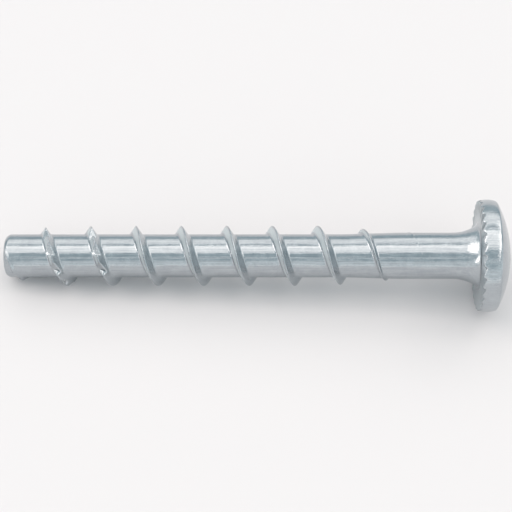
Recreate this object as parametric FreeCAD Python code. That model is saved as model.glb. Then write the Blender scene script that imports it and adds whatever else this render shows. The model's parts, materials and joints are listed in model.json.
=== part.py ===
import FreeCAD, Part
import math
import os

# A concrete screw: one piece of steel, forged at the head, rolled on the thread and zinc plated.
# It is built along its own axis, from the flat end of the tip at 0 to the crown of the head,
# and laid down at the end, as it rests on a table: on the rim of its head and on its thread.

# Lengths along the screw and its tip's bevel, in millimetres
length_under_head = 60.0
shank_length = 10.2
cone_length = 6.6
tip_chamfer_length = 0.43
tip_chamfer_height = 0.28

# Diameters along the screw, in millimetres
core_diameter = 5.5
shank_diameter = 5.9
thread_diameter = 7.65

# Thread, in millimetres, degrees and turns
pitch = 5.8
flank_angle = 32.0
thread_start_height = 0.12
thread_rise_length = 5.5
thread_runout_length = 10.8
runout_past_cone = 2.0
start_angle = -150.0
thread_burial = 0.1
base_burial = 0.35
stretches_per_turn = 3
steps_per_stretch = 4

# Cutting notches at the tip end of the thread, in millimetres and degrees
notches_per_turn = 9
first_notch_length = 1.3
notched_length = 12.3
notch_sweep = 23.0
notch_share_of_height = 0.60
notch_lean = 28.0
notch_margin = 0.3

# Head, in millimetres
head_diameter = 14.3
rim_height = 2.27
rim_bulge = 0.18
head_height = 4.06
rim_corner_radius = 0.42
flare_length = 3.1
flare_radius = 5.0

# Locking teeth under the head, in millimetres
tooth_count = 30
tooth_depth = 0.38
plain_ring_width = 0.87
tooth_land_width = 0.28
tooth_step_width = 0.2
tooth_margin = 0.25

# Six-lobed drive recess, in millimetres and degrees
recess_across_lobes = 5.6
recess_lobe_depth = 0.825
recess_lobe_radius = 0.45
recess_depth = 2.6
recess_point_depth = 0.55
recess_lobes = 6

FULL_TURN = 2.0 * math.pi
AXIS = FreeCAD.Vector(1, 0, 0)

core_radius = core_diameter / 2
shank_radius = shank_diameter / 2
thread_radius = thread_diameter / 2
rim_radius = head_diameter / 2
rim_edge_radius = rim_radius - rim_bulge
flank_slope = math.tan(math.radians(flank_angle))
flare_height = flare_radius - math.sqrt(flare_radius**2 - flare_length**2)
tooth_ring_radius = shank_radius + flare_height + plain_ring_width

cone_end = length_under_head - shank_length
cone_start = cone_end - cone_length
thread_start = tip_chamfer_length
thread_end = cone_end + runout_past_cone
head_top = length_under_head + head_height


def place(station, radius, angle):
    """A point so far from the tip and from the axis, turned about the axis from the table's side."""
    return FreeCAD.Vector(station, radius * math.sin(angle), -radius * math.cos(angle))


def outline(station, radius):
    """A point of the half section that is turned into the body."""
    return FreeCAD.Vector(station, radius, 0)


def make_blank():
    """The turned form of the whole screw before its thread, teeth and recess."""
    flare_start = length_under_head - flare_length
    half_flare = flare_length / 2
    half_flare_height = flare_radius - math.sqrt(flare_radius**2 - half_flare**2)
    rim_top = length_under_head + rim_height
    crown_rise = head_height - rim_height
    crown_radius = (rim_edge_radius**2 + crown_rise**2) / (2 * crown_rise)
    half_rim_edge = rim_edge_radius / 2
    half_crown_drop = crown_radius - math.sqrt(crown_radius**2 - half_rim_edge**2)

    tip_center = outline(0, 0)
    tip_edge = outline(0, core_radius - tip_chamfer_height)
    chamfer_end = outline(tip_chamfer_length, core_radius)
    core_end = outline(cone_start, core_radius)
    shank_start = outline(cone_end, shank_radius)
    shank_end = outline(flare_start, shank_radius)
    flare_middle = outline(flare_start + half_flare, shank_radius + half_flare_height)
    flare_end = outline(length_under_head, shank_radius + flare_height)
    rim_bottom = outline(length_under_head, rim_edge_radius)
    rim_middle = outline(length_under_head + rim_height / 2, rim_radius)
    rim_corner = outline(rim_top, rim_edge_radius)
    crown_middle = outline(head_top - half_crown_drop, half_rim_edge)
    crown_center = outline(head_top, 0)

    edges = [
        Part.LineSegment(tip_center, tip_edge).toShape(),
        Part.LineSegment(tip_edge, chamfer_end).toShape(),
        Part.LineSegment(chamfer_end, core_end).toShape(),
        Part.LineSegment(core_end, shank_start).toShape(),
        Part.LineSegment(shank_start, shank_end).toShape(),
        Part.Arc(shank_end, flare_middle, flare_end).toShape(),
        Part.LineSegment(flare_end, rim_bottom).toShape(),
        Part.Arc(rim_bottom, rim_middle, rim_corner).toShape(),
        Part.Arc(rim_corner, crown_middle, crown_center).toShape(),
        Part.LineSegment(crown_center, tip_center).toShape(),
    ]
    section = Part.Face(Part.Wire(edges))
    blank = section.revolve(FreeCAD.Vector(0, 0, 0), AXIS, 360)
    corner = [edge for edge in blank.Edges if is_circle_at(edge, rim_top, rim_edge_radius)]
    return blank.makeFillet(rim_corner_radius, corner)


def is_circle_at(edge, station, radius):
    """Whether an edge is the whole circle about the axis at this station with this radius."""
    around = abs(edge.Length - FULL_TURN * radius) < 1e-4
    return around and abs(edge.CenterOfMass.x - station) < 1e-4


def crest_station(angle):
    """How far from the tip the crest of the thread is, so far round from the table's side."""
    return thread_start + pitch * (angle - math.radians(start_angle)) / FULL_TURN


def crest_angle(station):
    """The turn at which the crest of the thread reaches a station."""
    return math.radians(start_angle) + (station - thread_start) / pitch * FULL_TURN


def crest_radius(angle):
    """The thread starts low at the tip, rises to full height, and sinks into the shank at its other end."""
    station = crest_station(angle)
    start_radius = core_radius + thread_start_height
    buried_end = shank_radius - thread_burial
    rise = (station - thread_start) / thread_rise_length
    fall = (thread_end - station) / thread_runout_length
    rising = start_radius + (thread_radius - start_radius) * rise
    falling = buried_end + (thread_radius - buried_end) * fall
    return min(thread_radius, rising, falling)


def thread_section(angle):
    """The three corners of the ridge where it is cut by a half plane through the axis."""
    base_radius = core_radius - base_burial
    station = crest_station(angle)
    radius = crest_radius(angle)
    half_base = (radius - base_radius) * flank_slope
    return [
        place(station - half_base, base_radius, angle),
        place(station, radius, angle),
        place(station + half_base, base_radius, angle),
    ]


def make_thread():
    """The coarse thread: a narrow ridge with a sharp crest, wound right-handed on the core."""
    first = math.radians(start_angle)
    last = crest_angle(thread_end)
    stretches = math.ceil((last - first) / FULL_TURN * stretches_per_turn)
    stretch = (last - first) / stretches
    faces = []
    for number in range(stretches):
        start = first + stretch * number
        angles = [start + stretch * step / steps_per_stretch for step in range(steps_per_stretch + 1)]
        sections = [thread_section(angle) for angle in angles]
        lines = []
        for corner in range(3):
            curve = Part.BSplineCurve()
            curve.interpolate(Points=[section[corner] for section in sections], Parameters=angles)
            lines.append(curve.toShape())
        faces += [Part.makeRuledSurface(lines[side], lines[(side + 1) % 3]) for side in range(3)]
    for angle in (first, last):
        corners = thread_section(angle)
        faces.append(Part.Face(Part.makePolygon(corners + corners[:1])))
    shell = Part.makeShell(faces)
    shell.sewShape()
    thread = Part.Solid(shell)
    if thread.Volume < 0:
        thread.reverse()
    return thread


def make_notches():
    """Wedges that cut saw teeth into the first turns of the thread, each with its face to the tip."""
    last_step = crest_angle(thread_start + notched_length)
    spacing = FULL_TURN / notches_per_turn
    notch_count = int((notched_length - first_notch_length) / pitch * notches_per_turn) + 1
    sweep = math.radians(notch_sweep)
    lean = math.radians(notch_lean)
    wedges = []
    for number in range(notch_count):
        step = last_step - spacing * number
        facet_start = step - sweep
        crest = crest_radius(step)
        height = crest - core_radius
        depth = height * notch_share_of_height
        outside = crest + notch_margin
        station = crest_station(step - sweep / 2)
        corners = [
            place(station, crest_radius(facet_start), facet_start),
            place(station, crest - depth, step),
            place(station, outside, step),
            place(station, outside, facet_start),
        ]
        middle = step - sweep / 2
        outward = place(0, 1, middle)
        reach = height * flank_slope + sweep / 2 * pitch / FULL_TURN
        across = AXIS * math.cos(lean) + outward * math.sin(lean)
        side = Part.Face(Part.makePolygon(corners + corners[:1]))
        side.translate(across * -reach)
        wedges.append(side.extrude(across * 2 * reach))
    return wedges


def make_tooth_grooves():
    """Sloping grooves under the head: what is left between them locks the screw against turning back."""
    pitch_at_rim = FULL_TURN * rim_edge_radius / tooth_count
    groove_width = pitch_at_rim - tooth_land_width
    ramp_width = groove_width - tooth_step_width
    outer_radius = rim_radius + tooth_margin
    slope = tooth_depth / (rim_edge_radius - tooth_ring_radius)
    rise = slope * (outer_radius - tooth_ring_radius)
    above = (tooth_depth + tooth_margin) / tooth_depth
    bed = length_under_head + rise
    mouth = bed - tooth_depth * above
    outer = [
        FreeCAD.Vector(bed, 0, -outer_radius),
        FreeCAD.Vector(mouth, ramp_width * above, -outer_radius),
        FreeCAD.Vector(mouth, -tooth_step_width * above, -outer_radius),
    ]
    inward = FreeCAD.Vector(-rise, 0, outer_radius - tooth_ring_radius)
    groove = Part.Face(Part.makePolygon(outer + outer[:1])).extrude(inward)
    grooves = []
    for number in range(tooth_count):
        turned = groove.copy()
        turned.rotate(FreeCAD.Vector(0, 0, 0), AXIS, 360.0 * number / tooth_count)
        grooves.append(turned)
    return grooves


def make_recess():
    """The six-lobed socket for the driver bit, pressed into the crown, with a shallow point at its floor."""
    lobe_center = recess_across_lobes / 2 - recess_lobe_radius
    waist = recess_across_lobes / 2 - recess_lobe_depth
    cos_half = math.cos(math.pi / recess_lobes)
    gap = lobe_center**2 + waist**2 - 2 * lobe_center * waist * cos_half - recess_lobe_radius**2
    waist_radius = gap / (2 * (recess_lobe_radius + lobe_center * cos_half - waist))
    waist_center = waist + waist_radius
    share = recess_lobe_radius / (recess_lobe_radius + waist_radius)
    floor = head_top - recess_depth

    def touch(lobe, side):
        """Where the arc of a lobe meets the arc of the waist beside it."""
        lobe_point = place(floor, lobe_center, lobe * FULL_TURN / recess_lobes)
        waist_point = place(floor, waist_center, (lobe + side / 2) * FULL_TURN / recess_lobes)
        return lobe_point + (waist_point - lobe_point) * share

    edges = []
    for lobe in range(recess_lobes):
        tip = place(floor, recess_across_lobes / 2, lobe * FULL_TURN / recess_lobes)
        narrow = place(floor, waist, (lobe + 0.5) * FULL_TURN / recess_lobes)
        edges.append(Part.Arc(touch(lobe, -1), tip, touch(lobe, 1)).toShape())
        edges.append(Part.Arc(touch(lobe, 1), narrow, touch(lobe + 1, -1)).toShape())
    star = Part.Face(Part.Wire(edges))
    socket = star.extrude(AXIS * (recess_depth + rim_height))
    base = FreeCAD.Vector(floor, 0, 0)
    point = Part.makeCone(waist, 0, recess_point_depth, base, AXIS * -1)
    return socket.fuse(point)


def rest_tilt():
    """How far the axis rises towards the head when the rim and a crest of the thread touch the table."""
    rim_station = length_under_head + rim_height / 2
    turns = math.ceil(crest_angle(cone_start) / FULL_TURN)
    tilts = []
    for turn in range(turns):
        angle = turn * FULL_TURN
        drop = rim_radius - crest_radius(angle)
        tilts.append(math.atan2(drop, rim_station - crest_station(angle)))
    return min(tilts)


def make_screw():
    """The finished screw, on its own axis."""
    screw = make_blank().fuse(make_thread())
    screw = screw.cut(make_notches())
    screw = screw.cut(make_tooth_grooves())
    screw = screw.cut(make_recess())
    return screw.Solids[0] if len(screw.Solids) == 1 else screw


def lay_down(shape):
    """The screw as it lies, with the middle of its footprint at the origin and the table at zero."""
    lying = shape.copy()
    lying.rotate(FreeCAD.Vector(0, 0, 0), FreeCAD.Vector(0, 1, 0), -math.degrees(rest_tilt()))
    box = lying.optimalBoundingBox(False, False)
    lying.translate(FreeCAD.Vector(-box.Center.x, -box.Center.y, -box.ZMin))
    return lying


os.makedirs("parts", exist_ok=True)
screw = lay_down(make_screw())
screw.exportStep("parts/concrete_screw.step")
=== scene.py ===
# %% [markdown]
# # A concrete screw in bright zinc
# The screw is one piece of steel wire: its head is forged, its thread is rolled, its drive socket is
# pressed in, and the whole of it is plated with zinc. The imported solid already has the true sizes, so
# the first step is to load it.

# %% Load the solid
import json
import math

import bmesh
import bpy
import numpy as np
from mathutils import Matrix, Vector


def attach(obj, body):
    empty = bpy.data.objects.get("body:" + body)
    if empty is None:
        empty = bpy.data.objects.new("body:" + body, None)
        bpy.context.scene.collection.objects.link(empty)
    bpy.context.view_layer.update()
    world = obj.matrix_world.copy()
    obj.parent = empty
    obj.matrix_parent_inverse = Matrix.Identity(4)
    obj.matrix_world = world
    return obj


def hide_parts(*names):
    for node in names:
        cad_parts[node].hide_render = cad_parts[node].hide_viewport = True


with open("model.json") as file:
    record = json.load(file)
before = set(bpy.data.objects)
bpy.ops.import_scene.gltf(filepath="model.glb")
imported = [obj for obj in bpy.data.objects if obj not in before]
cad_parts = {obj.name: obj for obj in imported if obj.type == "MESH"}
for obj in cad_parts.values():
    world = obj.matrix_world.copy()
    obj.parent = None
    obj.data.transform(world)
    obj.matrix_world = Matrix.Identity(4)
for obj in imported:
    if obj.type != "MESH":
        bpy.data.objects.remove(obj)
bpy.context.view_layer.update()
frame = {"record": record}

# %% [markdown]
# ## Where the screw lies
# A screw can't stand, so it lies on the rim of its head and on its thread, with its axis rising a
# little towards the head. Everything round is easier to draw on the screw's own axis. So it is made
# there, from the tip at 0 to the crown of the head, and laid down at the end. The axis could be typed
# in again, but then it could go wrong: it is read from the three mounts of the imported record.

# %% Read the axis and the lengths from the record
MM = 0.001
mounts = {mount["name"]: Vector(mount["pos_m"]) for mount in frame["record"]["mounts"]}
tip = mounts["thread"]
axis = (mounts["drive_socket"] - tip).normalized()
head_top = (mounts["drive_socket"] - tip).length
length_under_head = (mounts["bearing_face"] - tip).dot(axis)
tilt = math.atan2(axis.z, axis.x)
lay_down = Matrix.Translation(tip) @ Matrix.Rotation(-tilt, 4, "Y")
print(f"length under the head {length_under_head / MM:.2f} mm")
print(f"the axis rises {math.degrees(tilt):.2f} degrees")

# %% [markdown]
# ## The screw's own sizes
# These are the sizes that a thread roller's or a header's drawing would give. Sizes of single details
# follow later, where they are first needed.

# %% Sizes of the wire, the thread and the head
core_radius = 2.75 * MM
shank_radius = 2.95 * MM
shank_length = 10.2 * MM
cone_length = 6.6 * MM
cone_end = length_under_head - shank_length
cone_start = cone_end - cone_length

thread_radius = 3.825 * MM
pitch = 5.8 * MM
thread_start = 0.43 * MM
start_angle = math.radians(-150)
runout_past_cone = 2.0 * MM
thread_end = cone_end + runout_past_cone
advance = pitch / (2 * math.pi)

rim_radius = 7.15 * MM
rim_height = 2.27 * MM
rim_bulge = 0.18 * MM
rim_edge_radius = rim_radius - rim_bulge
print(f"{(thread_end - thread_start) / pitch:.1f} turns of thread, {2 * thread_radius / MM:.2f} mm wide")

# %% [markdown]
# ## Columns that every part shares
# The whole surface is a net of columns, which run along the screw, and rows, which go round it. All
# its parts share one set of columns, so that they can be welded without a gap. The thread's notches
# come 9 to a turn and the teeth under the head 30 to a turn, and 270 columns put the same number of
# columns into each notch and into each tooth.

# %% Columns
FULL_TURN = 2 * math.pi
columns_per_turn = 270
column = FULL_TURN / columns_per_turn
print(f"a column every {math.degrees(column):.2f} degrees")


def make_sheet(name, turns, rows, slope=0.0, **values):
    """A flat sheet with a column for each turn angle and a row for each offset.

    Rows step back by slope a radian. More values can be kept for each row.
    """
    across, along = len(rows), len(turns)
    points = [(turn, row - slope * turn, 0) for turn in turns for row in rows]
    corner = [c * across + r for c in range(along - 1) for r in range(across - 1)]
    faces = [(i, i + across, i + across + 1, i + 1) for i in corner]
    mesh = bpy.data.meshes.new(name)
    mesh.from_pydata(points, [], faces)
    for key, by_row in values.items():
        kept = mesh.attributes.new(key, "FLOAT", "POINT")
        kept.data.foreach_set("value", np.tile(by_row, along).astype(np.float32))
    sheet = bpy.data.objects.new(name, mesh)
    bpy.context.scene.collection.objects.link(sheet)
    print(f"{name}: {along} columns by {across} rows")
    return sheet


# %% [markdown]
# ## How a sheet becomes a screw
# A thread could be a section swept along a helix and joined to the wire by a boolean, but then its
# feet would be sharp, and the rolled screw has soft roots that catch the light. Here one formula gives
# the radius at each angle and distance along the screw, and Geometry Nodes roll the flat sheet up by
# it. One small function adds a node, with its settings and with a value or a link for each input.

# %% Node helpers
MATH = "ShaderNodeMath"


def add_node(tree, kind, *inputs, **settings):
    """Adds a node, with its inputs given in order or in a dict.

    Each input is a number, a socket, or a node, which stands for its first output.
    """
    node = tree.nodes.new(kind)
    for key, value in settings.items():
        setattr(node, key, value)
    named = inputs[0] if inputs and isinstance(inputs[0], dict) else dict(enumerate(inputs))
    for key, value in named.items():
        if isinstance(value, bpy.types.Node):
            value = value.outputs[0]
        if isinstance(value, bpy.types.NodeSocket):
            tree.links.new(value, node.inputs[key])
        else:
            node.inputs[key].default_value = value
    return node


def start_tree(name, sizes):
    """An empty tree with a geometry input and a named input for each size."""
    tree = bpy.data.node_groups.new(name, "GeometryNodeTree")
    tree.interface.new_socket("Geometry", in_out="INPUT", socket_type="NodeSocketGeometry")
    tree.interface.new_socket("Geometry", in_out="OUTPUT", socket_type="NodeSocketGeometry")
    for size, value in sizes.items():
        socket = tree.interface.new_socket(size, in_out="INPUT", socket_type="NodeSocketFloat")
        socket.default_value = value
    return tree, tree.nodes.new("NodeGroupInput").outputs


def end_tree(tree, geometry, position, matt_and_light, finish):
    """Keeps how satin each point is and how much painted light it gets, puts it in place, welds what falls
    together, and gives the finish.
    """
    marked = add_node(
        tree, "GeometryNodeStoreNamedAttribute", {"Geometry": geometry, "Name": "matt_and_light", "Value": matt_and_light},
        data_type="FLOAT", domain="POINT")
    placed = add_node(tree, "GeometryNodeSetPosition", {"Geometry": marked, "Position": position})
    welded = add_node(tree, "GeometryNodeMergeByDistance", {"Geometry": placed, "Distance": weld_distance})
    smooth = add_node(tree, "GeometryNodeSetShadeSmooth", {"Geometry": welded})
    real = add_node(tree, "GeometryNodeRealizeInstances", smooth)
    coated = add_node(tree, "GeometryNodeSetMaterial", {"Geometry": real, "Material": finish})
    add_node(tree, "NodeGroupOutput", coated)
    print(f"{tree.name}: {len(tree.nodes)} nodes")


def run_tree(sheet, tree, sizes):
    """Runs a tree on a sheet with these sizes, and gives back the plain mesh."""
    roll = sheet.modifiers.new(tree.name, "NODES")
    roll.node_group = tree
    for socket in tree.interface.items_tree:
        if socket.in_out == "INPUT" and socket.name in sizes:
            roll[socket.identifier] = sizes[socket.name]
    evaluated = sheet.evaluated_get(bpy.context.evaluated_depsgraph_get())
    mesh = bpy.data.meshes.new_from_object(evaluated)
    sheet.modifiers.remove(roll)
    bpy.data.objects.remove(sheet)
    print(f"{tree.name}: {len(mesh.vertices)} points, {len(mesh.polygons)} faces")
    return mesh


weld_distance = 0.001 * MM

# %% [markdown]
# ## The finish: bright zinc over drawn wire
# The screw is electroplated with zinc and passivated clear. That gives the eye a clean grey mirror,
# sharp enough to show the lamps as bands, with a fine grain along the wire and a light cloudiness.
# The rolled flanks and the forged underside of the head were rougher before they were plated, so they
# are satin and catch light from all sides. They are also painted paler than the wire, and that paler
# colour is painted light, standing in for the light from the tip's side that brightens them. A picture
# of zinc could be wrapped round the screw, but it would show a seam and stretch on the flanks. Noise in
# space has neither, and its sizes are real millimetres. How matt a place is and how much painted light
# it gets come with the mesh, as an attribute.

# %% Colours


def linear(colour):
    """A colour written as sRGB hex, turned into the linear values that Blender uses."""
    shares = [int(colour[place:place + 2], 16) / 255 for place in (1, 3, 5)]
    return [s / 12.92 if s <= 0.04045 else ((s + 0.055) / 1.055) ** 2.4 for s in shares] + [1]


# %% Zinc plating
zinc = bpy.data.materials.new("Bright zinc plating")
zinc.use_nodes = True
tree = zinc.node_tree
shader = tree.nodes["Principled BSDF"]
shader.inputs["Metallic"].default_value = 1.0

where = add_node(tree, "ShaderNodeTexCoord").outputs["Object"]
along_axis = add_node(tree, "ShaderNodeMapping", {"Vector": where, "Rotation": (0, tilt, 0)})

cloud_size = 1.1 * MM
clouds = add_node(tree, "ShaderNodeTexNoise", {"Vector": along_axis, "Scale": 1 / cloud_size, "Detail": 4.0})
crystal_size = 0.28 * MM
crystals = add_node(
    tree, "ShaderNodeTexNoise", {"Vector": along_axis, "Scale": 1 / crystal_size, "Detail": 2.0})
drawn_width = 0.12 * MM
drawn_stretch = 40
stretched = add_node(tree, "ShaderNodeMapping", {"Vector": along_axis, "Scale": (1 / drawn_stretch, 1, 1)})
drawn = add_node(tree, "ShaderNodeTexNoise", {"Vector": stretched, "Scale": 1 / drawn_width, "Detail": 2.0})
print(f"streaks {drawn_width / MM:.2f} mm wide and {drawn_stretch * drawn_width / MM:.1f} mm long")

# %% Colour of the zinc
crystal_tint = 0.6
drawn_tint = 1.6
darkest, palest = 1.2, 2.0
speckle = add_node(
    tree, MATH, crystals.outputs["Fac"], crystal_tint, clouds.outputs["Fac"], operation="MULTIPLY_ADD")
streaked = add_node(tree, MATH, drawn.outputs["Fac"], drawn_tint, speckle, operation="MULTIPLY_ADD")
tint_share = add_node(tree, "ShaderNodeMapRange", streaked, darkest, palest)
tint = add_node(tree, "ShaderNodeMix", {
    0: tint_share, 6: linear("#A5ABB0"), 7: linear("#B8BEC2")}, data_type="RGBA")
matt_and_light_share = add_node(tree, "ShaderNodeAttribute", attribute_name="matt_and_light").outputs["Fac"]
# Painted light: satin places are mixed towards a paler colour, which brightens the tip-side flanks and the
# head's underside as light from the tip's side would.
tint_with_painted_light = add_node(tree, "ShaderNodeMix", {
    0: matt_and_light_share, 6: tint.outputs[2], 7: linear("#D6DCDE")}, data_type="RGBA")
tree.links.new(tint_with_painted_light.outputs[2], shader.inputs["Base Color"])

# %% Roughness and relief of the zinc
thin_cloud, thick_cloud = 0.3, 0.7
clear_roughness, cloudy_roughness = 0.12, 0.2
rough = add_node(
    tree, "ShaderNodeMapRange", clouds.outputs["Fac"], thin_cloud, thick_cloud,
    clear_roughness, cloudy_roughness)
satin_roughness = 0.38
satin = add_node(tree, MATH, matt_and_light_share, satin_roughness, rough, operation="MULTIPLY_ADD")
tree.links.new(satin.outputs[0], shader.inputs["Roughness"])

wire_crystals, flank_crystals = 0.8, 3.0
cloud_relief = 1.5
relief_height = 0.012 * MM
crystal_share = add_node(tree, "ShaderNodeMapRange", matt_and_light_share, 0.0, 1.0, wire_crystals, flank_crystals)
rolled_grain = add_node(
    tree, MATH, crystals.outputs["Fac"], crystal_share, drawn.outputs["Fac"], operation="MULTIPLY_ADD")
grain = add_node(tree, MATH, clouds.outputs["Fac"], cloud_relief, rolled_grain, operation="MULTIPLY_ADD")
bump = add_node(tree, "ShaderNodeBump", {"Strength": 0.8, "Distance": relief_height, "Height": grain})
tree.links.new(bump.outputs[0], shader.inputs["Normal"])
print(f"{zinc.name}: {len(tree.nodes)} nodes, roughness {clear_roughness} on the wire")

# %% [markdown]
# ## The thread
# The thread of a concrete screw is coarse and narrow. Each row of the sheet keeps its distance from
# the crest, so that the crest, its two flanks and its soft roots stay crisp all the way round. Rows
# lie close together from the crest down to the root, and far apart on the plain wire between turns.

# %% Rows across one pitch
crest_reach = 0.08 * MM
foot_reach = 1.0 * MM
half_rows = np.concatenate([
    np.linspace(0, crest_reach, 3),
    np.linspace(crest_reach, foot_reach, 12)[1:],
    np.linspace(foot_reach, pitch / 2, 3)[1:],
])
thread_rows = np.concatenate([-half_rows[:0:-1], half_rows])
print(f"{len(thread_rows)} rows across one pitch, {crest_reach / 2 / MM:.2f} mm apart at the crest")

# %% The flat sheet of the thread
sheet_start = 1.2 * MM
plain_after_thread = 2.3 * MM
sheet_end = thread_end + plain_after_thread
first_turn = start_angle + (sheet_start - pitch / 2 - thread_start) / advance
last_turn = start_angle + (sheet_end + pitch / 2 - thread_start) / advance
thread_columns = np.arange(math.floor(first_turn / column), math.ceil(last_turn / column) + 1) * column
thread_sheet = make_sheet("thread_sheet", thread_columns, thread_rows)

# %% [markdown]
# The tip is bevelled, and the thread starts on its bevel. There the rows lie square to the screw, so
# that the bevel is as smooth as if it were turned. The first column is the same as the thread's.

# %% The flat sheet of the tip's bevel
bevel_depth = 0.28 * MM
tip_face_radius = core_radius - bevel_depth
bevel_length = 0.43 * MM
bevel_angle = math.atan2(core_radius - tip_face_radius, bevel_length)
tip_edge = 0.25 * MM
bevel_start = tip_edge * (1 - math.sin(bevel_angle))
bevel_row_count = 15
bevel_rows = np.linspace(bevel_start, sheet_start, bevel_row_count) - thread_start + start_angle * advance
bevel_sheet = make_sheet("bevel_sheet", thread_columns[:columns_per_turn + 1], bevel_rows, slope=advance)

# %% [markdown]
# ## The tree that rolls the thread
# The radius is built up as a machinist would think of it: first the bare wire with its cone, then the
# height of the crest, which rises out of the tip and sinks into the cone, then the flanks, then the
# notches that make saw teeth, and last the soft root that joins the ridge to the wire.

# %% Sizes of the thread's details
notches_per_turn = 9
notch_count = 18
notch_spacing = FULL_TURN / notches_per_turn
notch_sweep = math.radians(23)
notched_length = 12.3 * MM
last_notch = start_angle + notched_length / pitch * FULL_TURN
last_notch = round(last_notch / column) * column
first_notch = last_notch - (notch_count - 1) * notch_spacing - notch_sweep
print(f"{notch_count} notches, {math.degrees(notch_spacing):.0f} degrees apart")

thread_sizes = {
    "Sheet start": sheet_start, "Sheet end": sheet_end,
    "Tip face radius": tip_face_radius, "Bevel slope": math.tan(bevel_angle), "Bevel rounding": 0.2 * MM,
    "Core radius": core_radius, "Shank radius": shank_radius,
    "Cone start": cone_start, "Cone end": cone_end,
    "Thread radius": thread_radius, "Thread start": thread_start, "Thread end": thread_end,
    "Start angle": start_angle, "Advance per radian": advance,
    "Start radius": core_radius + 0.12 * MM, "Rise end": thread_start + 5.5 * MM,
    "Buried end radius": shank_radius - 0.1 * MM, "Runout start": thread_end - 10.8 * MM,
    "Flank slope": math.tan(math.radians(32)), "Crest land": 0.1 * MM,
    "Crest rounding": 0.06 * MM, "Root rounding": 0.4 * MM,
    "Settle start": bevel_start, "Settle end": bevel_start + 0.35 * MM,
    "Notch spacing": notch_spacing, "Half sweep": notch_sweep / 2,
    "First notch": first_notch, "Last notch": last_notch,
    "Notch share": 0.74, "Notch lean": math.tan(math.radians(30)), "Notch edge": 0.03 * MM,
}

# %% Bare wire and crest
tree, size = start_tree("Rolled thread", thread_sizes)
flat = add_node(tree, "ShaderNodeSeparateXYZ", add_node(tree, "GeometryNodeInputPosition"))
turn, row = flat.outputs["X"], flat.outputs["Y"]

turned = add_node(tree, MATH, turn, size["Start angle"], operation="SUBTRACT")
crest_station = add_node(
    tree, MATH, turned, size["Advance per radian"], size["Thread start"], operation="MULTIPLY_ADD")
open_station = add_node(tree, MATH, crest_station, row, operation="ADD")
station = add_node(tree, "ShaderNodeClamp", open_station, size["Sheet start"], size["Sheet end"])
offset = add_node(tree, MATH, station, crest_station, operation="SUBTRACT")
body = add_node(
    tree, "ShaderNodeMapRange", station, size["Cone start"], size["Cone end"],
    size["Core radius"], size["Shank radius"])
bevel = add_node(tree, MATH, station, size["Bevel slope"], size["Tip face radius"], operation="MULTIPLY_ADD")
wire = add_node(tree, MATH, body, bevel, size["Bevel rounding"], operation="SMOOTH_MIN")

rising = add_node(
    tree, "ShaderNodeMapRange", crest_station, size["Thread start"], size["Rise end"],
    size["Start radius"], size["Thread radius"], clamp=False)
falling = add_node(
    tree, "ShaderNodeMapRange", crest_station, size["Runout start"], size["Thread end"],
    size["Thread radius"], size["Buried end radius"], clamp=False)
ends = add_node(tree, MATH, rising, falling, operation="MINIMUM")
crest = add_node(tree, MATH, ends, size["Thread radius"], operation="MINIMUM")

# %% Flanks and crest land
away = add_node(tree, MATH, offset, operation="ABSOLUTE")
past_land = add_node(tree, MATH, size["Crest land"], -0.5, away, operation="MULTIPLY_ADD")
drop = add_node(tree, MATH, past_land, size["Flank slope"], operation="DIVIDE")
flank = add_node(tree, MATH, crest, drop, operation="SUBTRACT")
ridge = add_node(tree, MATH, crest, flank, size["Crest rounding"], operation="SMOOTH_MIN")

# %% [markdown]
# ## Notches
# The first two turns are notched, so that they saw into the concrete. Each notch is a flat facet that
# starts at the crest, goes deeper as the screw turns and ends at a steep little wall. The facet leans,
# so that it cuts the flank on the tip's side and leaves an edge on the head's side. In a plane across
# the screw a flat facet is a straight line, whose radius is its distance divided by a cosine. Eighteen
# wedges could cut the notches as booleans, but the formula leaves an even net with no slivers.

# %% Facet of each notch
facet_middle = add_node(tree, MATH, size["Last notch"], size["Half sweep"], operation="SUBTRACT")
from_middle = add_node(tree, MATH, turn, facet_middle, operation="SUBTRACT")
half_spacing = add_node(tree, MATH, size["Notch spacing"], 0.5, operation="MULTIPLY")
minus_half_spacing = add_node(tree, MATH, size["Notch spacing"], -0.5, operation="MULTIPLY")
inside_angle = add_node(tree, MATH, from_middle, half_spacing, minus_half_spacing, operation="WRAP")

height = add_node(tree, MATH, crest, size["Core radius"], operation="SUBTRACT")
depth = add_node(tree, MATH, height, size["Notch share"], operation="MULTIPLY")
minus_depth = add_node(tree, MATH, depth, -1, operation="MULTIPLY")
twice_middle = add_node(tree, MATH, crest, 2, minus_depth, operation="MULTIPLY_ADD")
half_width = add_node(tree, MATH, size["Half sweep"], operation="TANGENT")
run = add_node(tree, MATH, twice_middle, half_width, operation="MULTIPLY")
fall = add_node(tree, MATH, depth, run, operation="DIVIDE")

cos_half = add_node(tree, MATH, size["Half sweep"], operation="COSINE")
sin_half = add_node(tree, MATH, size["Half sweep"], operation="SINE")
fall_at_start = add_node(tree, MATH, fall, sin_half, operation="MULTIPLY")
shrink = add_node(tree, MATH, cos_half, fall_at_start, operation="SUBTRACT")
out_at_middle = add_node(tree, MATH, crest, shrink, operation="MULTIPLY")
sideways = add_node(tree, MATH, inside_angle, size["Advance per radian"], offset, operation="MULTIPLY_ADD")
facet_line = add_node(tree, MATH, sideways, size["Notch lean"], out_at_middle, operation="MULTIPLY_ADD")
cos_inside = add_node(tree, MATH, inside_angle, operation="COSINE")
sin_inside = add_node(tree, MATH, inside_angle, operation="SINE")
towards_facet = add_node(tree, MATH, sin_inside, fall, cos_inside, operation="MULTIPLY_ADD")
facet = add_node(tree, MATH, facet_line, towards_facet, operation="DIVIDE")

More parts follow.
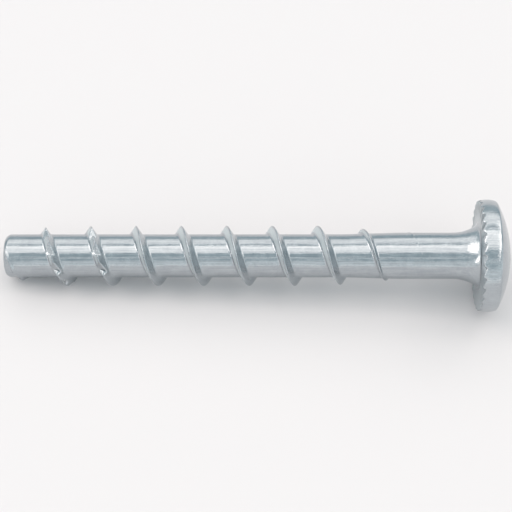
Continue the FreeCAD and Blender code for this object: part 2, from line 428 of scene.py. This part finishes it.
# %% Where the notches are
reach = add_node(tree, MATH, size["Half sweep"], column / 4, operation="ADD")
beside = add_node(tree, MATH, inside_angle, operation="ABSOLUTE")
in_sweep = add_node(tree, MATH, beside, reach, operation="LESS_THAN")
last = add_node(tree, MATH, size["Last notch"], column / 4, operation="ADD")
before_last = add_node(tree, MATH, turn, last, operation="LESS_THAN")
after_first = add_node(tree, MATH, turn, size["First notch"], operation="GREATER_THAN")
in_turns = add_node(tree, MATH, before_last, after_first, operation="MULTIPLY")
notched = add_node(tree, MATH, in_sweep, in_turns, operation="MULTIPLY")
lower = add_node(tree, MATH, ridge, facet, size["Notch edge"], operation="SMOOTH_MIN")
cut = add_node(tree, MATH, lower, ridge, operation="SUBTRACT")
saw_ridge = add_node(tree, MATH, cut, notched, ridge, operation="MULTIPLY_ADD")

# %% Soft root
rooted = add_node(tree, MATH, wire, saw_ridge, size["Root rounding"], operation="SMOOTH_MAX")
raised = add_node(tree, MATH, rooted, wire, operation="SUBTRACT")
settled = add_node(
    tree, "ShaderNodeMapRange", station, size["Settle start"], size["Settle end"], 0.0, 1.0,
    interpolation_type="SMOOTHSTEP")
radius = add_node(tree, MATH, raised, settled, wire, operation="MULTIPLY_ADD")

# %% [markdown]
# ## Satin flanks
# The flanks were squeezed between dies, which leaves them rougher than the drawn wire. They could have
# a material of their own, but then it would end in a hard line of faces. A share kept for each point
# fades within a tenth of a millimetre. The share makes a place rougher and also paints it paler, which
# is painted light. The flank towards the tip is the most matt and is painted lighter, as light from the
# tip's side would make it, the other one less so, the notches are nearly bright, and the crest and the
# foot are as bright as the wire.

# %% How matt each point of the thread is, and how much painted light it gets
foot_from, foot_to = 0.12 * MM, 0.3 * MM
crest_from, crest_to = 0.08 * MM, 0.18 * MM
crest_half = 0.05 * MM
head_side_matt_and_light = 0.2
notch_from = -0.04 * MM
notch_matt_and_light = 0.06
above_foot = add_node(tree, "ShaderNodeMapRange", raised, foot_from, foot_to)
below_crest = add_node(tree, "ShaderNodeMapRange", away, crest_from, crest_to)
# Painted light: the tip-side flank gets the full share and so the paler colour, the head-side flank only a
# fifth.
lit_side_share = add_node(tree, "ShaderNodeMapRange", offset, -crest_half, crest_half, 1.0, head_side_matt_and_light)
on_flank = add_node(tree, MATH, above_foot, below_crest, operation="MULTIPLY")
flank_matt_and_light = add_node(tree, MATH, on_flank, lit_side_share, operation="MULTIPLY")
in_notch = add_node(tree, "ShaderNodeMapRange", cut, notch_from, 0.0, 1.0, 0.0)
cut_share = add_node(tree, MATH, in_notch, notched, operation="MULTIPLY")
thread_matt_and_light = add_node(tree, "ShaderNodeMix", {0: cut_share, 2: flank_matt_and_light, 3: notch_matt_and_light})

# %% Roll up the thread and the bevel


def rolled(tree, station, radius, turn):
    """The place of a point, from its station, its radius and its turn from the table's side."""
    sine = add_node(tree, MATH, turn, operation="SINE")
    cosine = add_node(tree, MATH, turn, operation="COSINE")
    sideways = add_node(tree, MATH, radius, sine, operation="MULTIPLY")
    upwards = add_node(tree, MATH, radius, cosine, operation="MULTIPLY")
    down = add_node(tree, MATH, upwards, -1, operation="MULTIPLY")
    return add_node(tree, "ShaderNodeCombineXYZ", station, sideways, down)


end_tree(tree, size["Geometry"], rolled(tree, station, radius, turn), thread_matt_and_light, zinc)
thread_mesh = run_tree(thread_sheet, tree, thread_sizes)
bevel_sizes = thread_sizes | {"Sheet start": bevel_start, "Sheet end": sheet_start}
bevel_mesh = run_tree(bevel_sheet, tree, bevel_sizes)

# %% [markdown]
# ## The tip and the head
# Both ends are turned forms, so a row keeps its station along the screw and its radius. A Screw
# modifier could spin them, but the teeth and the socket need formulas again, and the seams have to
# meet the thread's columns. So these are flat sheets too. Edges of a forged or sheared part are never
# sharp: each gets a small arc, which shows as a bright line.

# %% Arcs of a turned outline


def arc(centre, radius, start, end, steps):
    """Points of an arc about a centre (station, radius), from one angle to another, in degrees."""
    angles = np.radians(np.linspace(start, end, steps + 1))
    return [(centre[0] + radius * math.cos(a), centre[1] + radius * math.sin(a)) for a in angles]


def bearing(start, end):
    """The direction from one point of the outline to another, in degrees."""
    return math.degrees(math.atan2(end[1] - start[1], end[0] - start[0]))


# %% Tip outline
tip_edge_out = tip_face_radius + tip_edge * math.tan(bevel_angle) - tip_edge / math.cos(bevel_angle)
tip_outline = [(0, 0), (0, tip_face_radius / 2)]
tip_outline += arc((tip_edge, tip_edge_out), tip_edge, 180, 90 + math.degrees(bevel_angle), 6)
print(f"{len(tip_outline)} points on the tip's outline")

# %% Head outline
flare_length = 3.1 * MM
flare_radius = 5.0 * MM
flare_fillet = 0.45 * MM
flare_centre = (length_under_head - flare_length, shank_radius + flare_radius)
fillet_run = flare_length - flare_fillet
fillet_drop = math.sqrt((flare_radius - flare_fillet) ** 2 - fillet_run ** 2)
fillet_centre = (length_under_head - flare_fillet, flare_centre[1] - fillet_drop)
fillet_angle = bearing(flare_centre, fillet_centre)

rim_middle = length_under_head + rim_height / 2
rim_arc_radius = (rim_height ** 2 / 4 + rim_bulge ** 2) / (2 * rim_bulge)
rim_centre = (rim_middle, rim_radius - rim_arc_radius)
lower_edge = 0.1 * MM
lower_reach = math.sqrt((rim_arc_radius - lower_edge) ** 2 - (rim_height / 2 - lower_edge) ** 2)
lower_centre = (length_under_head + lower_edge, rim_centre[1] + lower_reach)
lower_angle = bearing(rim_centre, lower_centre)

crown_rise = head_top - length_under_head - rim_height
crown_radius = (rim_edge_radius ** 2 + crown_rise ** 2) / (2 * crown_rise)
crown_centre = (head_top - crown_radius, 0)
upper_edge = 0.42 * MM
near, far = rim_arc_radius - upper_edge, crown_radius - upper_edge
between = math.dist(rim_centre, crown_centre)
swing = math.acos((near ** 2 + between ** 2 - far ** 2) / (2 * near * between))
upper_angle = bearing(rim_centre, crown_centre) - math.degrees(swing) + 360
upper_centre = arc(rim_centre, near, upper_angle, upper_angle, 1)[0]
crown_angle = bearing(crown_centre, upper_centre)
crown_edge_radius = crown_radius * math.sin(math.radians(crown_angle))
print(f"the crown starts {crown_edge_radius / MM:.2f} mm from the axis")

# %% Rows of the head, up to its crown
plain_ring_width = 0.87 * MM
tooth_ring_radius = flare_centre[1] - math.sqrt(flare_radius ** 2 - flare_length ** 2) + plain_ring_width
head_outline = [(sheet_end, shank_radius)]
head_outline += arc(flare_centre, flare_radius, -90, fillet_angle, 8)
head_outline += arc(fillet_centre, flare_fillet, fillet_angle, 0, 6)[1:]
plain_rows = len(head_outline)
underside = np.linspace(tooth_ring_radius, lower_centre[1], 8)
head_outline += [(length_under_head, radius) for radius in underside]
head_outline += arc(lower_centre, lower_edge, 180, lower_angle, 3)[1:]
head_outline += arc(rim_centre, rim_arc_radius, lower_angle, upper_angle, 12)[1:]
toothed_rows = len(head_outline) - plain_rows
head_outline += arc(upper_centre, upper_edge, upper_angle, crown_angle, 6)[1:]
print(f"{len(head_outline)} points on the head's outline")

# %% [markdown]
# ## The drive socket
# The photo doesn't show the top of the head. A screw like this one has a six-lobed socket there, and
# a socket has an outline of arcs: six round lobes, and six wider arcs between them. On the crown the
# rows change gently from circles to that outline, go over a small lead-in and down the wall, and
# change back to a point at the middle of the floor. A boolean could cut the socket in one step, but its
# edge would be sharp and its faces long and thin.

# %% Sizes of the socket
lobe_reach = 2.8 * MM
lobe_radius = 0.45 * MM
waist_reach = lobe_reach - 0.825 * MM
socket_depth = 2.6 * MM
point_depth = 0.55 * MM
half_lobe = math.pi / 6

lobe_centre = lobe_reach - lobe_radius
cos_half_lobe = math.cos(half_lobe)
apart_squared = lobe_centre ** 2 + waist_reach ** 2 - 2 * lobe_centre * waist_reach * cos_half_lobe
excess = apart_squared - lobe_radius ** 2
waist_radius = excess / (2 * (lobe_radius + lobe_centre * cos_half_lobe - waist_reach))
waist_centre = waist_reach + waist_radius
share = lobe_radius / (lobe_radius + waist_radius)
touch_out = lobe_centre + share * (waist_centre * cos_half_lobe - lobe_centre)
touch_side = share * waist_centre * math.sin(half_lobe)
touch_angle = math.atan2(touch_side, touch_out)
print(f"lobes of {lobe_radius / MM:.2f} mm and arcs of {waist_radius / MM:.2f} mm between them")
print(f"they touch {math.degrees(touch_angle):.1f} degrees from the lobe's middle")

# %% Rows of the crown and the socket
# Each row holds its station on the axis, its radius at a lobe, how far it follows the socket's
# outline, and how far it follows the dome of the crown.
rows = [(station, radius, 0, 0) for station, radius in head_outline]
lead_in = 0.12 * MM
lead_in_drop = 0.03 * MM
for part in np.linspace(0, 1, 9)[1:]:
    reach = crown_edge_radius + (lobe_reach + lead_in - crown_edge_radius) * part
    rows.append((head_top, reach, part ** 3, 1))
rows.append((head_top - lead_in_drop, lobe_reach + lead_in / 3, 1, 1))
rows.append((head_top - lead_in, lobe_reach, 1, 1))

wall_start = 0.5 * MM
floor = head_top - socket_depth
floor_edge, floor_edge_in = 0.1 * MM, 0.05 * MM
floor_inset = 0.12 * MM
rows.append((head_top - wall_start, lobe_reach, 1, 0))
rows.append((floor + floor_edge, lobe_reach, 1, 0))
rows.append((floor + floor_edge / 5, lobe_reach - floor_edge_in, 1, 0))
for part in np.linspace(0, 1, 6):
    rows.append((floor - point_depth * part, (lobe_reach - floor_inset) * (1 - part), 1 - part, 0))
print(f"{len(rows)} rows from the shank to the middle of the socket")

# %% What each row of the head is
# A row under the head follows the teeth. The flare gets more matt towards the head, the ring with the
# teeth is satin, and the rim is nearly bright. The same shares paint these places paler, which is
# painted light that brightens the flare and the underside.
flare_matt_and_light = 0.35
underside_matt_and_light = 0.6
rim_matt_and_light = 0.08
stations, radii, socket_shares, dome_shares = np.array(rows).T
tooth_shares = np.zeros(len(rows))
tooth_shares[plain_rows:plain_rows + toothed_rows] = 1
matt_and_light_shares = np.zeros(len(rows))
matt_and_light_shares[:plain_rows] = np.linspace(0, 1, plain_rows) ** 2 * flare_matt_and_light
matt_and_light_shares[plain_rows:plain_rows + toothed_rows] = rim_matt_and_light
matt_and_light_shares[plain_rows:plain_rows + len(underside)] = underside_matt_and_light

# %% The flat sheets of the head and the tip
around = np.arange(columns_per_turn + 1) * column
head_sheet = make_sheet(
    "head_sheet", around, np.arange(len(rows)), station=stations, radius=radii,
    socket=socket_shares, dome=dome_shares, teeth=tooth_shares, forged=matt_and_light_shares)
tip_stations, tip_radii = np.array(tip_outline).T
tip_zero = np.zeros(len(tip_outline))
tip_sheet = make_sheet(
    "tip_sheet", around, np.arange(len(tip_outline)), station=tip_stations, radius=tip_radii,
    socket=tip_zero, dome=tip_zero, teeth=tip_zero, forged=tip_zero)

# %% [markdown]
# ## The tree that turns the ends
# It does what a lathe and a press do: it takes each row's station and radius, presses the socket's
# outline into it, and then rolls the locking teeth into the ring under the head. The teeth are
# sawtooth grooves that get deeper towards the rim. They slope one way, so that they bite when the
# screw is turned back.

# %% Sizes of the teeth
tooth_count = 30
tooth_depth = 0.38 * MM
tooth_top = 0.26 * MM
tooth_pitch = FULL_TURN / tooth_count
groove_width = rim_edge_radius * tooth_pitch - tooth_top
step_width = 0.2 * MM
turned_sizes = {
    "Lobe centre": lobe_centre, "Lobe radius": lobe_radius, "Lobe reach": lobe_reach,
    "Waist centre": waist_centre, "Waist radius": waist_radius, "Touch angle": touch_angle,
    "Half lobe": half_lobe, "Crown radius": crown_radius,
    "Tooth pitch": tooth_pitch, "Step angle": step_width / rim_edge_radius,
    "Ring station": length_under_head, "Ring radius": tooth_ring_radius,
    "Bed slope": tooth_depth / (rim_edge_radius - tooth_ring_radius),
    "Ramp slope": tooth_depth / (groove_width - step_width), "Step slope": tooth_depth / step_width,
    "Edge rounding": 0.05 * MM,
}
print(f"{tooth_count} teeth, with grooves {groove_width / MM:.2f} mm wide at the rim")

# %% Outline of the socket
tree, size = start_tree("Turned ends", turned_sizes)
turn = add_node(tree, "ShaderNodeSeparateXYZ", add_node(tree, "GeometryNodeInputPosition")).outputs["X"]
kept = {
    name: add_node(tree, "GeometryNodeInputNamedAttribute", {"Name": name}, data_type="FLOAT")
    for name in ("station", "radius", "socket", "dome", "teeth", "forged")}

minus_half_lobe = add_node(tree, MATH, size["Half lobe"], -1, operation="MULTIPLY")
lobe_turn = add_node(tree, MATH, turn, size["Half lobe"], minus_half_lobe, operation="WRAP")
from_lobe = add_node(tree, MATH, lobe_turn, operation="ABSOLUTE")
from_waist = add_node(tree, MATH, from_lobe, size["Half lobe"], operation="SUBTRACT")
reaches = []
for angle, centre, bend, side in (
        (from_lobe, "Lobe centre", "Lobe radius", 1), (from_waist, "Waist centre", "Waist radius", -1)):
    cosine = add_node(tree, MATH, angle, operation="COSINE")
    sine = add_node(tree, MATH, angle, operation="SINE")
    ahead = add_node(tree, MATH, size[centre], cosine, operation="MULTIPLY")
    beside = add_node(tree, MATH, size[centre], sine, operation="MULTIPLY")
    beside_squared = add_node(tree, MATH, beside, 2, operation="POWER")
    bend_squared = add_node(tree, MATH, size[bend], 2, operation="POWER")
    chord = add_node(tree, MATH, bend_squared, beside_squared, operation="SUBTRACT")
    half_chord = add_node(tree, MATH, chord, operation="SQRT")
    reaches.append(add_node(tree, MATH, half_chord, side, ahead, operation="MULTIPLY_ADD"))
on_lobe = add_node(tree, MATH, from_lobe, size["Touch angle"], operation="LESS_THAN")
socket_line = add_node(tree, "ShaderNodeMix", {0: on_lobe, 2: reaches[1], 3: reaches[0]})
socket_ratio = add_node(tree, MATH, socket_line, size["Lobe reach"], operation="DIVIDE")
shape = add_node(tree, "ShaderNodeMix", {0: kept["socket"], 2: 1.0, 3: socket_ratio})
radius = add_node(tree, MATH, kept["radius"], shape, operation="MULTIPLY")

# %% Dome of the crown
radius_squared = add_node(tree, MATH, radius, 2, operation="POWER")
crown_squared = add_node(tree, MATH, size["Crown radius"], 2, operation="POWER")
above = add_node(tree, MATH, crown_squared, radius_squared, operation="SUBTRACT")
height_over_centre = add_node(tree, MATH, above, operation="SQRT")
dome = add_node(tree, MATH, height_over_centre, size["Crown radius"], operation="SUBTRACT")
station = add_node(tree, MATH, dome, kept["dome"], kept["station"], operation="MULTIPLY_ADD")

# %% Locking teeth
last_ramp = add_node(tree, MATH, size["Tooth pitch"], size["Step angle"], operation="SUBTRACT")
last_ramp = add_node(tree, MATH, last_ramp, column / 4, operation="SUBTRACT")
first_step = add_node(tree, MATH, last_ramp, size["Tooth pitch"], operation="SUBTRACT")
from_bed = add_node(tree, MATH, turn, last_ramp, first_step, operation="WRAP")
cosine = add_node(tree, MATH, from_bed, operation="COSINE")
sine = add_node(tree, MATH, from_bed, operation="SINE")
out = add_node(tree, MATH, radius, cosine, operation="MULTIPLY")
side = add_node(tree, MATH, radius, sine, operation="MULTIPLY")
past_ring = add_node(tree, MATH, out, size["Ring radius"], operation="SUBTRACT")
bed = add_node(tree, MATH, past_ring, size["Bed slope"], size["Ring station"], operation="MULTIPLY_ADD")
ramp = add_node(tree, MATH, side, size["Ramp slope"], operation="MULTIPLY")
minus_side = add_node(tree, MATH, side, -1, operation="MULTIPLY")
step = add_node(tree, MATH, minus_side, size["Step slope"], operation="MULTIPLY")
wall = add_node(tree, MATH, ramp, step, operation="MAXIMUM")
groove = add_node(tree, MATH, bed, wall, operation="SUBTRACT")
toothed = add_node(tree, MATH, station, groove, size["Edge rounding"], operation="SMOOTH_MAX")
station = add_node(tree, "ShaderNodeMix", {0: kept["teeth"], 2: station, 3: toothed})

# Painted light: the forged share also makes the flare and the underside paler.
end_tree(tree, size["Geometry"], rolled(tree, station, radius, turn), kept["forged"], zinc)
end_meshes = [run_tree(sheet, tree, turned_sizes) for sheet in (head_sheet, tip_sheet)]

# %% [markdown]
# ## One welded screw
# The four skins are the bevel, the thread, the head and the tip's face. They share their columns, so
# their edges fall on each other and weld into one closed surface. A boolean union could join them too,
# but it would cut new edges where nothing needs them. The normals are then made to point outwards, and
# the screw is laid down where the frame has it. A closed surface has no edge with fewer or more than
# two faces, and that is counted.

# %% Weld, lay down and measure
whole = bmesh.new()
for mesh in (thread_mesh, bevel_mesh, *end_meshes):
    whole.from_mesh(mesh)
bmesh.ops.remove_doubles(whole, verts=whole.verts, dist=weld_distance)
bmesh.ops.recalc_face_normals(whole, faces=whole.faces)
loose = sum(not edge.is_manifold for edge in whole.edges)
triangles = sum(len(face.verts) - 2 for face in whole.faces)
print(f"volume {whole.calc_volume() / MM ** 3:.1f} cubic mm, {triangles} triangles, {loose} open edges")

screw_mesh = bpy.data.meshes.new("screw")
whole.to_mesh(screw_mesh)
whole.free()
screw_mesh.transform(lay_down)
screw_mesh.materials.clear()
screw_mesh.materials.append(zinc)
screw_mesh.shade_smooth()
screw = bpy.data.objects.new("screw", screw_mesh)
bpy.context.scene.collection.objects.link(screw)
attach(screw, "root")
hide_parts("concrete_screw")

# %% [markdown]
# ## Floor
# A pale, matt table top. A backdrop that bends up behind the screw would do as well, but the camera
# looks down and sees the table alone. The colour of the card makes the background pale, and the card
# keeps the soft shadow that shows how the screw lies.

# %% Floor
paper = bpy.data.materials.new("Matt white card")
paper.use_nodes = True
paper_shader = paper.node_tree.nodes["Principled BSDF"]
paper_shader.inputs["Base Color"].default_value = linear("#DCDADB")
paper_shader.inputs["Roughness"].default_value = 0.9
paper_shader.inputs["Specular IOR Level"].default_value = 0.2

floor_half = 1.8
floor_mesh = bpy.data.meshes.new("table_top")
corners = [(x * floor_half, y * floor_half, 0) for x, y in ((-1, -1), (1, -1), (1, 1), (-1, 1))]
floor_mesh.from_pydata(corners, [], [(0, 1, 2, 3)])
floor_mesh.materials.append(paper)
table_top = bpy.data.objects.new("table_top", floor_mesh)
bpy.context.scene.collection.objects.link(table_top)
print(f"a table top {2 * floor_half} m wide")

# %% [markdown]
# ## Light
# Bright zinc shows its surroundings. A round bar shows each lamp as a band along its length, and the
# place of the band tells at which height over the horizon the lamp stands. One big soft lamp would
# leave the wire without bands, so six long strips lie beside the screw. Three panels off its ends light
# the flanks and the underside of the head, and a narrow strip across draws a bright line along each
# foot of the thread. Each lamp is given by angles as the screw sees it, and by its brightness, where 1
# is white paper.

# %% World
world = bpy.data.worlds.new("Studio")
world.use_nodes = True
world.node_tree.nodes["Background"].inputs["Color"].default_value = linear("#C7D6DB")
world.node_tree.nodes["Background"].inputs["Strength"].default_value = 1.0
bpy.context.scene.world = world

# %% Lamps
middle = lay_down @ Vector((length_under_head / 2, 0, 0))
across = Vector((math.cos(tilt), 0, math.sin(tilt)))
lamp_distance = 4.0
lamp_colour = linear("#FFF0E8")[:3]


def soft_lamp(name, side, height, width, depth, brightness):
    """A soft lamp that faces the screw, with its angles in degrees.

    side is measured from the front towards the tip, height over the horizon from the front, and width
    and depth are the lamp's size.
    """
    around, over = math.radians(side), math.radians(height)
    back = Vector((-math.sin(around) * math.cos(over), -math.cos(around) * math.cos(over), math.sin(over)))
    level = Vector((math.cos(around), -math.sin(around), 0))
    data = bpy.data.lights.new(name, "AREA")
    data.shape = "RECTANGLE"
    data.size = 2 * lamp_distance * math.tan(math.radians(width) / 2)
    data.size_y = 2 * lamp_distance * math.tan(math.radians(depth) / 2)
    data.energy = brightness * math.pi * data.size * data.size_y
    data.color = lamp_colour
    lamp = bpy.data.objects.new(name, data)
    turn = Matrix((level, back.cross(level), back)).transposed()
    lamp.matrix_world = Matrix.Translation(middle + back * lamp_distance) @ turn.to_4x4()
    lamp.visible_camera = False
    bpy.context.scene.collection.objects.link(lamp)


# %% Strips beside the screw and panels off its ends
strip_length = 90
for name, height, depth, brightness in (
        ("overhead strip", 89, 40, 1.02), ("ridge strip", 102, 9, 0.6), ("rear strip", 136, 34, 0.88),
        ("upper front strip", 18, 18, 0.42), ("thin front strip", 43, 4, 0.75),
        ("low front strip", 3, 5, 0.95)):
    soft_lamp(name, 0, height, strip_length, depth, brightness)
soft_lamp("low tip panel", 66, 12, 30, 6, 5.0)
soft_lamp("tip panel", 95, 40, 36, 30, 2.2)
soft_lamp("head panel", -75, 16, 50, 30, 0.5)
soft_lamp("cross strip", -90, 57, 70, 5, 2.6)
print(f"{len(bpy.data.lights)} lamps, {lamp_distance} m from the screw")

# %% [markdown]
# ## Camera
# The photo looks at the screw from the side and slightly down on it as it lies, with the axis level in
# the picture. The underside of the head shows and the tip's face doesn't, which gives the distance and
# the column that the camera faces. It could be aimed by eye, but here its place follows from columns
# and rows that can be measured in the picture.

# %% Camera
photo_side = 512
pixels_per_mm = 7.84
tip_pixel = 6.6
axis_pixel = 255.8
facing_pixel = 307
aim_pixel = 288
view_height = math.radians(54.4)
distance = 169.5 * MM


def axis_point(pixel):
    """The point of the screw's axis that this column of the photo shows."""
    return lay_down @ Vector(((pixel - tip_pixel) / pixels_per_mm * MM, 0, 0))


overhead = Vector((-math.sin(tilt), 0, math.cos(tilt)))
outwards = overhead * math.sin(view_height) + Vector((0, -math.cos(view_height), 0))
place = axis_point(facing_pixel) + outwards * distance
back = (place - axis_point(aim_pixel)).normalized()
up = back.cross(across).normalized()
right = up.cross(back)

camera_data = bpy.data.cameras.new("camera")
camera_data.sensor_width = 36
camera_data.lens = camera_data.sensor_width * distance / MM * pixels_per_mm / photo_side
camera_data.shift_x = (photo_side / 2 - aim_pixel) / photo_side
camera_data.shift_y = (axis_pixel - photo_side / 2) / photo_side
camera_data.clip_start = 0.01
camera = bpy.data.objects.new("camera", camera_data)
camera.matrix_world = Matrix.Translation(place) @ Matrix((right, up, back)).transposed().to_4x4()
bpy.context.scene.collection.objects.link(camera)
bpy.context.scene.camera = camera
bpy.context.scene.view_settings.view_transform = "Standard"
print(f"lens {camera_data.lens:.1f} mm, {distance / MM:.1f} mm from the screw")
